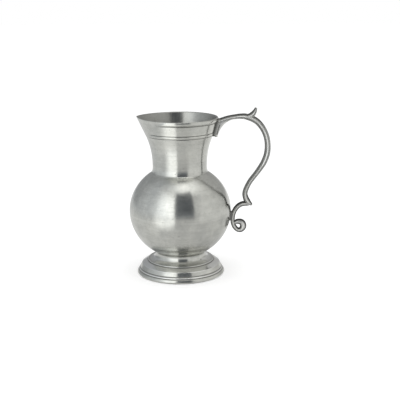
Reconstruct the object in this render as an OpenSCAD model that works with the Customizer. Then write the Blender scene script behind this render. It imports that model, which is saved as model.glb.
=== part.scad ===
// Pewter jug: a turned foot, two bowl halves, a flared neck with a let-in pouring lip
// and a cast scroll handle, all joined with solder. The jug's axis is Z and stands on Z = 0,
// the handle is towards +X and the lip towards -X.

/* [Jug] */
// Height of the rim above the table
rim_h = 185; // [170:1:205]
// Wall of the bowl halves, the neck and the lip
wall = 2; // [1.6:0.1:2.6]
// Leg of the solder fillets
fillet_leg = 1.5; // [0.8:0.1:2.2]

/* [Bowl] */
// Largest radius of the bowl
bowl_r = 59.4; // [56:0.1:63]
// Height of the bowl's widest ring
bowl_z = 75.2; // [70:0.1:80]
// Height of the bowl's oval above its widest ring
bowl_rise = 54.8; // [51:0.1:58]
// Depth of the bowl's oval below its widest ring
bowl_drop = 56; // [52:0.1:59]
// Overlap of the two bowl halves at the widest ring
lap_h = 3; // [2:0.1:5]
// Width of the solder groove round the widest ring
seam_w = 1.2; // [0.8:0.1:2]
// Depth of that solder groove
seam_depth = 0.7; // [0.4:0.1:1]

/* [Neck] */
// Outer radius of the throat, the narrowest ring
throat_r = 31.6; // [29:0.1:34]
// Height of the throat above the crease with the bowl
throat_rise = 7.4; // [5:0.1:10]
// How far the neck spreads below the throat
neck_spread = 1.2; // [0.6:0.1:1.8]
// How far the neck flares between the throat and the collar
flare = 7.2; // [5:0.1:9]
// Depth of the spigot that enters the bowl
spigot_h = 4.5; // [3.5:0.1:6]

/* [Collar] */
// Height of the collar, from its lower line to the rim
collar_h = 20.8; // [18:0.1:24]
// How far the collar spreads from its lower line to the rim groove
collar_spread = 4.4; // [3:0.1:6]
// Width of the bead between the collar's two lines
collar_bead_w = 3.6; // [2.6:0.1:4.6]
// How far that bead stands out
collar_bead_out = 0.35; // [0.2:0.05:0.6]
// Height of the rounded rim above its groove
rim_bead_h = 5.4; // [4.4:0.1:6.4]
// How far the rounded rim stands out from the collar
rim_bead_out = 0.9; // [0.5:0.1:1.3]
// Width of the turned lines
line_w = 0.9; // [0.6:0.1:1.2]
// Depth of the turned lines
line_depth = 0.5; // [0.3:0.05:0.7]

/* [Lip] */
// How far the tip of the lip stands out from the round rim
lip_out = 4.6; // [3:0.1:6]
// How far the tip of the lip rises above the rim
lip_rise = 1.4; // [0.6:0.1:2.2]
// Half the width of the lip's cut at the rim
lip_half_w = 41; // [36:0.5:42]
// Depth of the lip's cut below the rim
lip_cut_h = 24; // [20:0.5:28]
// Width of the solder run round the lip
lip_seam_w = 1; // [0.6:0.1:1.6]

/* [Foot] */
// Radius of the foot near the table
foot_r = 51.6; // [48:0.1:55]
// Width of the flat ring that rests on the table
rest_w = 4.4; // [3:0.1:6]
// Height of the base band
band_h = 4.4; // [3.6:0.1:5.2]
// How far the base band leans in
band_lean = 2; // [1.4:0.1:2.6]
// Height of the bead above the base band
bead_h = 2.4; // [1.8:0.1:3]
// How far the bead leans in
bead_lean = 1.3; // [0.8:0.1:1.8]
// Radius of the knee between the foot's steep and flat slopes
knee_r = 45; // [44:0.1:46]
// Height of the steep slope, from the bead to the knee
steep_h = 4.8; // [4:0.1:5.6]
// Radius of the step's edge
step_r = 38.8; // [36.5:0.1:40.5]
// Height of the flat slope, from the knee to the step
slope_h = 4; // [3.2:0.1:4.8]
// Height of the step's edge
step_h = 1.6; // [1:0.1:2.2]
// Outer radius of the foot's seat under the bowl
seat_r = 29; // [27:0.1:31]

/* [Handle] */
// Thickness of the strap
strap_t = 6; // [5:0.1:7]
// Width of the strap
strap_w = 9.6; // [8:0.1:11.2]
// Reach of the strap from its pad
strap_reach = 60; // [54:0.5:66]
// Depth of the root below the rim
root_drop = 22.4; // [21:0.1:25]
// Thickness of the pad between collar and root
pad_t = 3.2; // [2.6:0.1:3.8]
// Width of the pad
pad_w = 19; // [16:0.1:22]
// Height of the pad
pad_h = 19.5; // [18:0.1:21]
// Distance of the pad's top below the rim
pad_drop = 2.6; // [2.2:0.1:3.4]
// Width of the pad's lower end
pad_low_w = 13; // [11:0.1:16]
// Cut of the pad's corners
pad_corner = 2; // [1:0.1:3]
// Size of the lower scroll, from its start to the bottom of the volute
scroll_size = 33; // [30:0.1:36]
// Radius of the hole in the volute
volute_hole_r = 1.9; // [1.4:0.1:2.4]
// Thickness of the solder between scroll and bowl
scroll_gap = 0.6; // [0.4:0.1:0.9]

/* [Hidden] */
$fn = 96;

// Steps of a full sweep of an oval or a curve, and of the sweep along a strap
curve_steps = 30;
span_steps = 4;
// Overrun of every cut
over = 1;
pewter = [0.66, 0.66, 0.63];
solder = [0.56, 0.56, 0.54];

// Points on the bowl's oval, inset by d, where a is the angle above the widest ring
function oval(a, d = 0) = [
    (bowl_r - d) * cos(a),
    bowl_z + ((a < 0 ? bowl_drop : bowl_rise) - d) * sin(a)
];
function oval_angle(r, d = 0) = acos(r / (bowl_r - d));
function oval_run(a0, a1, d = 0) = [
    for (i = [0 : curve_steps]) oval(a0 + (a1 - a0) * i / curve_steps, d)
];

// Point at share s of the curve that starts at a, heads for b and ends at c
function bend(a, b, c, s) = a * pow(1 - s, 2) + b * 2 * s * (1 - s) + c * pow(s, 2);
function bend_run(a, b, c, steps) = [for (i = [0 : steps]) bend(a, b, c, i / steps)];

// Turned line cut into a slope, with its mouth at p and the slope running along unit u
function turned_line(p, u) = [
    p - u * line_w / 2,
    p + [-u[1], u[0]] * line_depth,
    p + u * line_w / 2
];
function unit(v) = v / norm(v);

// Crease between bowl and neck, and the spigot inside it
crease_r = throat_r + neck_spread;
spigot_wall_share = 0.8;
spigot_r = crease_r - wall * spigot_wall_share;
crease_up = oval_angle(crease_r);
crease_z = oval(crease_up)[1];
spigot_up = oval_angle(spigot_r);
throat_z = crease_z + throat_rise;
collar_z = rim_h - collar_h;
groove_z = rim_h - rim_bead_h;
collar_r = throat_r + flare;
groove_r = collar_r + collar_spread;
collar_slope = unit([collar_spread, groove_z - collar_z]);
rim_r = groove_r + collar_slope[0] / collar_slope[1] * rim_bead_h;
spread_power = 2.4;
flare_power = 2.2;

// Outer radius of the neck at height z, with no turned lines, beads or rounded rim
function neck_outer(z) =
    z < throat_z ? throat_r + neck_spread * pow((throat_z - z) / throat_rise, spread_power) :
    z < collar_z ? throat_r + flare * pow((z - throat_z) / (collar_z - throat_z), flare_power) :
    collar_r + (z - collar_z) * collar_slope[0] / collar_slope[1];
function collar_point(z, out = 0) = [neck_outer(z) + out, z];

// The rounded rim: up and out from its groove, over the top and in to the bore
rim_top_r = rim_r - wall / 2;
rim_swell_share = 0.45;
rim_edge_share = 0.7;
rim_steps = 8;
rim_round = concat(
    [collar_point(groove_z + line_w, rim_bead_out * rim_edge_share)],
    bend_run(
        collar_point(groove_z + rim_bead_h * rim_swell_share, rim_bead_out),
        [rim_r + rim_bead_out * rim_edge_share, rim_h],
        [rim_top_r, rim_h],
        rim_steps
    )
);

// The neck's outside from the crease to the top of the rim
lower_line_z = collar_z + line_w / 2;
upper_line_z = lower_line_z + collar_bead_w;
neck_outside = concat(
    [[crease_r, crease_z], collar_point(crease_z + fillet_leg)],
    [for (i = [1 : curve_steps])
        collar_point(crease_z + fillet_leg + (collar_z - crease_z - fillet_leg) * i / curve_steps)],
    turned_line(collar_point(lower_line_z), collar_slope),
    [collar_point((lower_line_z + upper_line_z) / 2, collar_bead_out)],
    turned_line(collar_point(upper_line_z), collar_slope),
    turned_line(collar_point(groove_z), collar_slope),
    rim_round
);
neck_bore = [
    for (i = [0 : curve_steps])
        let (z = rim_h - wall / 2 - (rim_h - wall / 2 - crease_z) * i / curve_steps)
        collar_point(z, -wall)
];
spigot_bore_r = spigot_r - wall;

module lathe(points) {
    rotate_extrude() polygon(points);
}

/* The foot */

bead_z = band_h + bead_h;
knee_z = bead_z + steep_h;
step_z = knee_z + slope_h;
cove_z = step_z + step_h;
seat_out = -oval_angle(seat_r);
seat_in = -oval_angle(seat_r - wall);
band_top_r = foot_r - band_lean;
bead_top_r = band_top_r - bead_lean;
step_ledge = line_w;
// Where each bend of the foot turns, as shares of its height
band_turn_share = 0.6;
bead_turn_share = 0.7;
step_turn_share = 0.3;
cove_turn_share = 0.1;
// How far the slope above a turned line starts inside it, as a share of the line's depth
line_edge_share = 0.25;
foot_steps = 8;
foot_outside = concat(
    [[foot_r - line_depth, 0]],
    bend_run([foot_r, line_w], [foot_r, band_h * band_turn_share], [band_top_r, band_h], foot_steps),
    [[band_top_r - line_depth, band_h + line_w / 2]],
    bend_run(
        [band_top_r - line_depth * line_edge_share, band_h + line_w],
        [band_top_r, band_h + bead_h * bead_turn_share],
        [bead_top_r, bead_z],
        foot_steps
    ),
    [[bead_top_r - line_depth, bead_z + line_w / 2]],
    bend_run(
        [bead_top_r - line_depth * line_edge_share, bead_z + line_w],
        [knee_r, knee_z],
        [step_r + step_ledge, step_z],
        foot_steps
    ),
    [[step_r - line_depth / 2, step_z], [step_r, step_z + step_h * step_turn_share]],
    bend_run(
        [step_r, cove_z - step_h * step_turn_share],
        [step_r, cove_z],
        [step_r - step_ledge, cove_z],
        span_steps
    ),
    bend_run(
        [step_r - step_ledge - line_depth, cove_z],
        [seat_r, cove_z + (oval(seat_out)[1] - cove_z) * cove_turn_share],
        [seat_r, oval(seat_out)[1] - fillet_leg],
        foot_steps
    ),
    [oval(seat_out)]
);
foot_inside = concat(
    [oval(seat_in), [seat_r - wall, oval(seat_out)[1] - fillet_leg - wall]],
    bend_run(
        [seat_r - wall, cove_z + wall / 2],
        [seat_r, cove_z - wall],
        [step_r - wall, cove_z - wall],
        foot_steps
    ),
    bend_run(
        [step_r, step_z - wall],
        [knee_r - wall, knee_z - wall],
        [foot_r - rest_w, band_h / 2],
        foot_steps
    ),
    [[foot_r - rest_w, 0]]
);

module foot() {
    color(pewter) lathe(concat(foot_outside, foot_inside));
}

module foot_seam() {
    below = oval(seat_out) - [0, fillet_leg];
    beside = oval(-oval_angle(seat_r + fillet_leg));
    color(solder)
        lathe([below, oval(seat_out), beside, (below + beside + oval(seat_out)) / 3]);
}

/* The bowl */

lap_r = bowl_r - wall / 2;
lap_z = bowl_z - lap_h;
seam_top = asin(seam_w / 2 / bowl_rise);
seam_low = -asin(seam_w / 2 / bowl_drop);
seam_floor = [bowl_r - seam_depth, bowl_z];
// Angle at which the oval, inset by the wall, passes the lap's lower end
lap_in = -asin(lap_h / (bowl_drop - wall));
foot_beside = -oval_angle(seat_r + fillet_leg);
neck_beside = oval_angle(crease_r + fillet_leg);

module lower_bowl() {
    color(pewter)
        lathe(concat(
            [oval(-90)],
            oval_run(-90, seat_in),
            [oval(seat_out)],
            oval_run(foot_beside, seam_low),
            [seam_floor, [lap_r, bowl_z], [lap_r, lap_z]],
            oval_run(lap_in, -90, wall)
        ));
}

module upper_bowl() {
    color(pewter)
        lathe(concat(
            [seam_floor],
            oval_run(seam_top, neck_beside),
            [oval(crease_up), oval(spigot_up)],
            [[spigot_r, oval(oval_angle(spigot_r, wall), wall)[1]]],
            oval_run(oval_angle(spigot_r, wall), 0, wall),
            [oval(lap_in, wall), [lap_r, lap_z], [lap_r, bowl_z]]
        ));
}

module bowl_seam() {
    color(solder) lathe([oval(seam_low), oval(seam_top), seam_floor]);
}

/* The neck and its lip */

module neck_blank() {
    lathe(concat(
        neck_outside,
        neck_bore,
        [[spigot_bore_r, crease_z - spigot_h], [spigot_r, crease_z - spigot_h]],
        [oval(spigot_up)]
    ));
}

// The lip is let into a tapered cut, whose sides run straight down to a narrow end
lip_end_share = 3;
lip_end_w = lip_seam_w * lip_end_share;
lip_low_z = rim_h - lip_cut_h;
function lip_half(z) = lip_end_w / 2 + (lip_half_w - lip_end_w / 2) * (z - lip_low_z) / lip_cut_h;

// Block along X that cuts the place for the lip and its solder out of the neck
module lip_cut() {
    low_z = lip_low_z - lip_seam_w;
    low = lip_half(low_z) + lip_seam_w;
    top_z = rim_h + over;
    top = lip_half(top_z) + lip_seam_w;
    reach = rim_r + lip_out + over;
    translate([-reach, 0, 0])
        rotate([90, 0, 90])
        linear_extrude(reach)
        polygon([[-low, low_z], [low, low_z], [top, top_z], [-top, top_z]]);
}

// Swell of the lip, where side runs from -1 to 1 across it and up from 0 to 1 along its height
lip_fade_power = 1.7;
lip_levels = 14;
lip_columns = 24;
lip_edge_share = 0.3;
lip_edge = wall * lip_edge_share;
function lip_swell(side) = pow(1 - abs(side), lip_fade_power);
function lip_z(up, side) = lip_low_z + (lip_cut_h + lip_rise * lip_swell(side)) * up;
function lip_seam_z(up) = lip_low_z + lip_cut_h * up;

// Point on the lip's outside, or inset by d; at its sides it lies on the cut's sides
function lip_point(up, side, d = 0, drop = 0) =
    let (
        z = lip_z(up, side) - drop,
        edge_z = lip_seam_z(up) - drop,
        r = neck_outer(z) + lip_out * up * lip_swell(side) - d,
        a = side * asin(lip_half(edge_z) / (neck_outer(edge_z) - d))
    )
    [-r * cos(a), -r * sin(a), z];

// Faces over rings of n points each, where a ring is two runs back to back
function swept_faces(rings, n) = concat(
    [for (j = [0 : n / 2 - 2]) [j, j + 1, n - 2 - j, n - 1 - j]],
    [for (j = [0 : n / 2 - 2]) let (k = (rings - 1) * n) [k + n - 1 - j, k + n - 2 - j, k + j + 1, k + j]],
    [for (i = [0 : rings - 2]) for (j = [0 : n - 1])
        [i * n + j, (i + 1) * n + j, i * n + (j + 1) % n]],
    [for (i = [0 : rings - 2]) for (j = [0 : n - 1])
        [(i + 1) * n + j, (i + 1) * n + (j + 1) % n, i * n + (j + 1) % n]]
);
module swept(rings) {
    polyhedron([for (r = rings) each r], swept_faces(len(rings), len(rings[0])));
}

// One column of the lip: up its outside, over its rounded edge and down its inside
function lip_column(side) = concat(
    [for (i = [0 : lip_levels - 1]) lip_point(i / lip_levels, side)],
    [
        lip_point(1, side, 0, lip_edge),
        lip_point(1, side, lip_edge),
        lip_point(1, side, wall - lip_edge),
        lip_point(1, side, wall, lip_edge)
    ],
    [for (i = [lip_levels - 1 : -1 : 0]) lip_point(i / lip_levels, side, wall)]
);

module neck() {
    color(pewter)
        difference() {
            neck_blank();
            lip_cut();
        }
}

module neck_seam() {
    above = collar_point(crease_z + fillet_leg);
    beside = oval(neck_beside);
    corner = [crease_r, crease_z];
    color(solder) lathe([beside, (above + beside + corner) / 3, above, corner]);
}

module pouring_lip() {
    color(pewter)
        swept([for (k = [lip_columns : -1 : 0]) lip_column(2 * k / lip_columns - 1)]);
}

// Point on the neck's plain outside, or inset by d, at the distance y from the jug's middle plane
function neck_at(y, z, d) = [-sqrt(pow(neck_outer(z) - d, 2) - pow(y, 2)), y, z];

// Solder along the cut: down one side, round the narrow end and up the other side
module lip_seam() {
    low_z = lip_low_z - lip_seam_w;
    function station(side, up) =
        let (
            z = lip_seam_z(up),
            far_z = up > 0 ? z : low_z,
            y = side * lip_half(z),
            far_y = side * (lip_half(far_z) + lip_seam_w)
        )
        [neck_at(y, z, 0), neck_at(far_y, far_z, 0), neck_at(far_y, far_z, wall), neck_at(y, z, wall)];
    color(solder)
        swept(concat(
            [for (i = [lip_levels : -1 : 0]) station(1, i / lip_levels)],
            [for (i = [0 : lip_levels]) station(-1, i / lip_levels)]
        ));
}

/* The handle */

// The pad's outer face is flat and leans with the collar
pad_top_z = rim_h - pad_drop;
pad_low_z = pad_top_z - pad_h;
pad_slope = collar_slope[0] / collar_slope[1];
function pad_face(z) = neck_outer(collar_z) + (z - collar_z) * pad_slope + pad_t;

module pad_block(thick) {
    translate([0, pad_w / 2, 0])
        rotate([90, 0, 0])
        linear_extrude(pad_w)
        polygon([
            [pad_face(pad_low_z) - thick, pad_low_z],
            [pad_face(pad_low_z), pad_low_z],
            [pad_face(pad_top_z), pad_top_z],
            [pad_face(pad_top_z) - thick, pad_top_z]
        ]);
}

// One side of the pad from its top to its bottom: it narrows downwards and has cut corners
pad_side = [
    [pad_w / 2 - pad_corner, pad_top_z],
    [pad_w / 2, pad_top_z - pad_corner],
    [pad_low_w / 2, pad_low_z + pad_corner],
    [pad_low_w / 2 - pad_corner, pad_low_z]
];

module neck_plug() {
    lathe(concat([[0, crease_z]], neck_outside, [[0, rim_h]]));
}

module handle_pad() {
    color(pewter)
        difference() {
            intersection() {
                pad_block(pad_w);
                rotate([90, 0, 90])
                    linear_extrude(pad_face(pad_top_z) + over)
                    polygon(concat(pad_side, [for (i = [3 : -1 : 0]) [-pad_side[i][0], pad_side[i][1]]]));
            }
            neck_plug();
        }
}

// A smooth curve through stations, each station a list of any length
function through(a, b, c, d, s) = 0.5 * (
    2 * b + (c - a) * s + (2 * a - 5 * b + 4 * c - d) * s * s + (3 * b - a - 3 * c + d) * s * s * s
);
function smooth_run(list) = let (m = len(list) - 1) concat(
    [for (i = [0 : m - 1]) for (k = [0 : span_steps - 1])
        through(list[max(0, i - 1)], list[i], list[i + 1], list[min(m, i + 2)], k / span_steps)],
    [list[m]]
);

// Half of the strap's section, from the middle of its outer face to the middle of its inner face:
// shares of half the thickness and of half the width. The side has a ridge between two flutes.
section_shares = [[1, 0.5], [0.93, 0.82], [0.76, 0.9], [0.48, 0.78], [0.22, 0.92]];
half_section = concat(
    section_shares,
    [[0, 1]],
    [for (i = [len(section_shares) - 1 : -1 : 0]) [-section_shares[i][0], section_shares[i][1]]]
);
full_section = concat(
    [for (p = half_section) [p[0], -p[1]]],
    [for (i = [len(half_section) - 1 : -1 : 0]) half_section[i]]
);

// Rings of the section along stations of [x, z, thickness, width]
function strap_rings(stations) =
    let (run = smooth_run(stations), m = len(run) - 1)
    [for (i = [0 : m])
        let (
            ahead = run[min(m, i + 1)],
            behind = run[max(0, i - 1)],
            u = unit([ahead[0] - behind[0], ahead[1] - behind[1]])
        )
        [for (p = full_section) [
            run[i][0] - u[1] * p[0] * run[i][2] / 2,
            p[1] * run[i][3] / 2,
            run[i][1] + u[0] * p[0] * run[i][2] / 2
        ]]
    ];

// Where the lower scroll touches the bowl. The strap runs from the pad down to the scroll, so its
// drop and its reach there follow the scroll's size.
touch_drop_share = 0.25;
touch_z = bowl_z - touch_drop_share * scroll_size;
touch_x = oval(-asin((bowl_z - touch_z) / bowl_drop))[0] + scroll_gap;
top_x = pad_face(pad_top_z);
low_rise_share = 0.426;
low_reach_share = 1.818;
strap_drop = rim_h - touch_z - low_rise_share * scroll_size;
function strap_x(x, z) =
    top_x + (touch_x - top_x) * z + x * (strap_reach * (1 - z) + low_reach_share * scroll_size * z);
function strap_z(z) = rim_h - z * strap_drop;
function strap_station(s) = [strap_x(s[0], s[1]), strap_z(s[1]), s[2] * strap_t, s[3] * strap_w];

// Stations of the strap and of its two spurs: shares of the reach and of the drop, then of the
// strap's thickness and width
strap_shares = [
    [-0.07, 0.05, 0.74, 1], [0.02, 0.033, 0.74, 1], [0.14, 0.012, 0.72, 1], [0.26, 0, 0.73, 1],
    [0.39, -0.008, 0.78, 1], [0.5, -0.003, 0.88, 1], [0.655, 0.036, 1, 1], [0.755, 0.1, 1, 1],
    [0.822, 0.19, 1, 1], [0.844, 0.29, 0.98, 1], [0.814, 0.405, 1, 1], [0.728, 0.515, 0.98, 1],
    [0.582, 0.628, 0.88, 1], [0.415, 0.74, 0.86, 1], [0.31, 0.85, 0.9, 1], [0.308, 0.92, 1, 1],
    [0.345, 0.965, 0.86, 0.95], [0.41, 0.997, 0.3, 0.8]
];
spur_shares = [
    [0.455, -0.004, 0.5, 0.95], [0.547, -0.022, 0.8, 0.95], [0.613, -0.042, 0.78, 0.9],
    [0.662, -0.067, 0.58, 0.8], [0.7, -0.096, 0.36, 0.65]
];

// The root under the strap: a web with a hollow underside and rounded edges
web_steps = 8;
web_round = strap_t / 6;
web_w_share = 0.88;
web_flat_share = 0.86;
web_w = strap_w * web_w_share;
// Where its underside turns and ends, and the heights of its top at both ends, as shares of the
// strap's reach and drop
web_turn_shares = [0.03, 0.018];
web_far_shares = [0.34, 0.006];
web_top_shares = [0.032, -0.004];
web_low = [pad_face(rim_h - root_drop) + 2 * web_round, rim_h - root_drop];
web_turn = [strap_x(web_turn_shares[0], 0), strap_z(web_turn_shares[1])];
web_far = [strap_x(web_far_shares[0], 0), strap_z(web_far_shares[1])];
web_facet_steps = 16;

module web_post(s) {
    low = bend(web_low, web_turn, web_far, s);
    high = [low[0], strap_z(web_top_shares[0] * (1 - s) + web_top_shares[1] * s)];
    for (p = [low, high])
        translate([p[0], 0, p[1]])
            rotate([90, 0, 0]) {
                cylinder(h = web_w, r = web_round / 2, center = true, $fn = web_facet_steps);
                cylinder(h = web_w * web_flat_share, r = web_round, center = true, $fn = web_facet_steps);
            }
}

module root_web() {
    for (i = [0 : web_steps - 1])
        hull() {
            web_post(i / web_steps);
            web_post((i + 1) / web_steps);
        }
    hull() {
        web_post(0);
        translate([-pad_t, 0, 0])
            web_post(0);
    }
}

// The lower scroll down to its lowest point, and the curl that grows out of it from a thinner
// station: shares of its size, from the touch point on the bowl, with shares of the strap's
// thickness and width
function scroll_station(s) = [
    touch_x + s[0] * scroll_size,
    touch_z + s[1] * scroll_size,
    s[2] * strap_t,
    s[3] * strap_w
];
scroll_shares = [
    [0.66, 0.48, 0.3, 0.75], [0.57, 0.49, 0.5, 0.85], [0.45, 0.478, 0.7, 0.9], [0.34, 0.435, 0.74, 0.9],
    [0.23, 0.35, 0.78, 0.9], [0.14, 0.225, 0.8, 0.88], [0.085, 0.075, 0.82, 0.86],
    [0.065, -0.08, 0.82, 0.84], [0.075, -0.235, 0.82, 0.82], [0.135, -0.38, 0.82, 0.78],
    [0.235, -0.485, 0.74, 0.74], [0.335, -0.5, 0.74, 0.72]
];
curl_shares = [
    [0.235, -0.485, 0.5, 0.55], [0.335, -0.5, 0.74, 0.72], [0.43, -0.44, 0.9, 0.7],
    [0.465, -0.33, 1, 0.7], [0.41, -0.222, 0.96, 0.7], [0.3, -0.178, 0.7, 0.68],
    [0.2, -0.185, 0.5, 0.66], [0.13, -0.2, 0.3, 0.6]
];
volute_eye_shares = [0.262, -0.325];
volute_eye = [
    touch_x + volute_eye_shares[0] * scroll_size,
    touch_z + volute_eye_shares[1] * scroll_size
];
volute_facet_steps = 24;

module volute_hole() {
    hull()
        for (m = [-1, 1])
            translate([volute_eye[0], strap_w, volute_eye[1] + m * volute_hole_r / 2])
                rotate([90, 0, 0])
                cylinder(h = 2 * strap_w, r = volute_hole_r, $fn = volute_facet_steps);
}

module scroll_sweep(shares) {
    swept(strap_rings([for (s = shares) scroll_station(s)]));
}

module handle_cast() {
    difference() {
        union() {
            swept(strap_rings([for (s = strap_shares) strap_station(s)]));
            swept(strap_rings([for (s = spur_shares) strap_station(s)]));
            scroll_sweep(scroll_shares);
            scroll_sweep(curl_shares);
            root_web();
        }
        volute_hole();
        collar_side();
    }
}

// Everything on the collar's side of the pad's outer face
module collar_side() {
    low = collar_z - pad_h;
    high = rim_h + pad_h;
    translate([0, pad_w, 0])
        rotate([90, 0, 0])
        linear_extrude(2 * pad_w)
        polygon([[0, low], [pad_face(low), low], [pad_face(high), high], [0, high]]);
}

module handle() {
    color(pewter) handle_cast();
}

// Wedges of solder in the corners between the pad's face and both sides of the root
root_solder_top_share = 0.09;

module handle_root_solder() {
    side = web_w / 2;
    corners = [for (z = [pad_low_z + pad_corner, strap_z(root_solder_top_share)]) each [
        [pad_face(z), side, z],
        [pad_face(z) + fillet_leg, side, z],
        [pad_face(z), side + fillet_leg, z]
    ]];
    for (m = [0, 1])
        mirror([0, m, 0])
            color(solder)
            polyhedron(corners, [[0, 1, 2], [5, 4, 3], [0, 3, 4, 1], [1, 4, 5, 2], [2, 5, 3, 0]]);
}

module bowl_plug() {
    lathe(concat(oval_run(-90, seam_low), oval_run(seam_top, 90)));
}

// Solder that fills the thin wedge between scroll and bowl: its width as a share of the strap's,
// its lower and upper ends as shares of the scroll's size
touch_solder_w_share = 0.8;
touch_solder_shares = [-0.126, 0.174];

module handle_foot_solder() {
    w = strap_w * touch_solder_w_share;
    low = touch_solder_shares[0] * scroll_size;
    high = touch_solder_shares[1] * scroll_size;
    color(solder)
        difference() {
            translate([touch_x - strap_t, -w / 2, touch_z + low])
                cube([strap_t + 3 * scroll_gap, w, high - low]);
            bowl_plug();
            handle_cast();
        }
}

foot();
foot_seam();
lower_bowl();
upper_bowl();
bowl_seam();
neck();
neck_seam();
pouring_lip();
lip_seam();
handle_pad();
handle();
handle_root_solder();
handle_foot_solder();
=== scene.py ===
"""Looks of the pewter pitcher: turned foot, bowl and neck, let-in lip and cast scroll handle.

Sizes in the shape code are millimetres in the row's frame and become metres in mesh_piece().
"""

import math

import bmesh
import bpy
import numpy as np
from mathutils import Matrix, Vector, kdtree


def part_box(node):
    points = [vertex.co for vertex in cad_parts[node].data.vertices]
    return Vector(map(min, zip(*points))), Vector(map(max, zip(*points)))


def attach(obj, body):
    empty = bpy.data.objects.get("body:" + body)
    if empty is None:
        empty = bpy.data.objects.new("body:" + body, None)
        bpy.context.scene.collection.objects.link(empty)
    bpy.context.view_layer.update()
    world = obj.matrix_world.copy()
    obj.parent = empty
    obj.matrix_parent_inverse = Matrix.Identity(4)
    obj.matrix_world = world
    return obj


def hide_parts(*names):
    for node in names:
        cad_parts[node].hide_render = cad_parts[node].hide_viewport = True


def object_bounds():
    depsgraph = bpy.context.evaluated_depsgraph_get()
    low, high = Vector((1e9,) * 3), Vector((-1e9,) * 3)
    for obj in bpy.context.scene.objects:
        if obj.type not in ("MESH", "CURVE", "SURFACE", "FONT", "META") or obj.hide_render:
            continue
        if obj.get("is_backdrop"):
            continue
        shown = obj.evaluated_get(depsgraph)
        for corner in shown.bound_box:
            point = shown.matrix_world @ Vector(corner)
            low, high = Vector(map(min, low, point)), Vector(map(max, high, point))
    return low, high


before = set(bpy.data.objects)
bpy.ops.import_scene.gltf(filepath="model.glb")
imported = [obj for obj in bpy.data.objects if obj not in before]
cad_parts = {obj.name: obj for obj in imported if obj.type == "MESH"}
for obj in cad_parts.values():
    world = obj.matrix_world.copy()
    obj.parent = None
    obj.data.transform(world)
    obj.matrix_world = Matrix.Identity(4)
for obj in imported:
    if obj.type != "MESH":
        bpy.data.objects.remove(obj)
cad_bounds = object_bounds()
MM = 0.001


def plain(value):
    """Vectors and tuples as plain lists of numbers."""
    if hasattr(value, "__len__"):
        return [plain(v) for v in value]
    return float(value)


# ---- Driving sizes, in millimetres ----

rim_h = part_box("neck")[1].z / MM
bowl_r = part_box("bowl_seam")[1].x / MM
bowl_z = (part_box("bowl_seam")[0].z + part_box("bowl_seam")[1].z) / 2 / MM
foot_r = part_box("foot")[1].x / MM
bowl_drop = bowl_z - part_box("lower_bowl")[0].z / MM
bowl_rise = 54.8
wall = 2.0
fillet_leg = 1.5
lap_h = 3.0
seam_half_w = 0.6
seam_depth = 0.7

throat_r, throat_rise, neck_spread, flare, spigot_h = 31.6, 7.4, 1.2, 7.2, 4.5
spread_power, flare_power, spigot_share = 2.4, 2.2, 0.8
collar_h, collar_spread, collar_bead_w, collar_bead_out = 20.8, 4.4, 3.6, 0.35
rim_bead_h, rim_bead_out, line_w, line_depth = 5.4, 0.9, 0.9, 0.5
lip_out, lip_rise, lip_half_w, lip_cut_h, lip_end_w = 4.6, 1.4, 41.0, 24.0, 3.0

rest_w, edge_w, edge_h = 4.4, 2.6, 1.9
band_h, band_lean, bead_h, bead_lean = 4.4, 2.0, 2.4, 1.3
knee_r, steep_h, step_r, slope_h, step_h, seat_r = 45.0, 4.8, 38.8, 4.0, 1.6, 29.0

strap_t, strap_w, strap_reach = 6.0, 9.6, 60.0
root_drop, pad_t, pad_drop, pad_corner = 22.4, 3.2, 2.6, 2.0
pad_w, pad_low_w, pad_h = 19.0, 13.0, 19.5
scroll_size, scroll_gap = 33.0, 0.6


# ---- Curves ----

def bend(a, b, c, s):
    """Points at shares s of the curve that starts at a, heads for b and ends at c."""
    s = np.atleast_1d(s)[:, None]
    a, b, c = np.asarray(a, float), np.asarray(b, float), np.asarray(c, float)
    return a * (1 - s) ** 2 + b * 2 * s * (1 - s) + c * s**2


def bend_run(a, b, c, steps):
    return bend(a, b, c, np.linspace(0, 1, steps + 1))


def oval(a, d=0.0):
    """Points on the bowl's oval, inset by d, at angles a above its widest ring, in degrees."""
    a = np.radians(np.atleast_1d(a))
    tall = np.where(a < 0, bowl_drop, bowl_rise) - d
    return np.column_stack([(bowl_r - d) * np.cos(a), bowl_z + tall * np.sin(a)])


def oval_angle(r, d=0.0):
    return math.degrees(math.acos(r / (bowl_r - d)))


def oval_run(a0, a1, d=0.0, steps=90):
    return oval(np.linspace(a0, a1, steps + 1), d)


def smoothstep(x, low, high):
    t = np.clip((x - low) / (high - low), 0.0, 1.0)
    return t * t * (3 - 2 * t)


def between(x, low, low_end, high_start, high):
    """1 from low_end to high_start, fading to 0 at low and at high."""
    return smoothstep(x, low, low_end) * (1 - smoothstep(x, high_start, high))


def peak(x, at, reach):
    """1 at one value, falling off softly on both sides."""
    return np.exp(-(((x - at) / reach) ** 2))


def resample(points, spacing):
    """The same path with points about spacing apart."""
    points = np.asarray(points, float)
    gaps = np.linalg.norm(np.diff(points, axis=0), axis=1)
    points = points[np.concatenate([[True], gaps > 1e-6])]
    along = np.concatenate([[0], np.cumsum(np.linalg.norm(np.diff(points, axis=0), axis=1))])
    at = np.linspace(0, along[-1], max(2, int(round(along[-1] / spacing))) + 1)
    return np.column_stack([np.interp(at, along, points[:, k]) for k in range(points.shape[1])])


def soften(points, spacing=0.22, passes=3):
    """A path with its corners worn round. Its two ends stay where they are."""
    path = resample(points, spacing)
    for _ in range(passes):
        path[1:-1] = (path[:-2] + 2 * path[1:-1] + path[2:]) / 4
    return path


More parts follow.
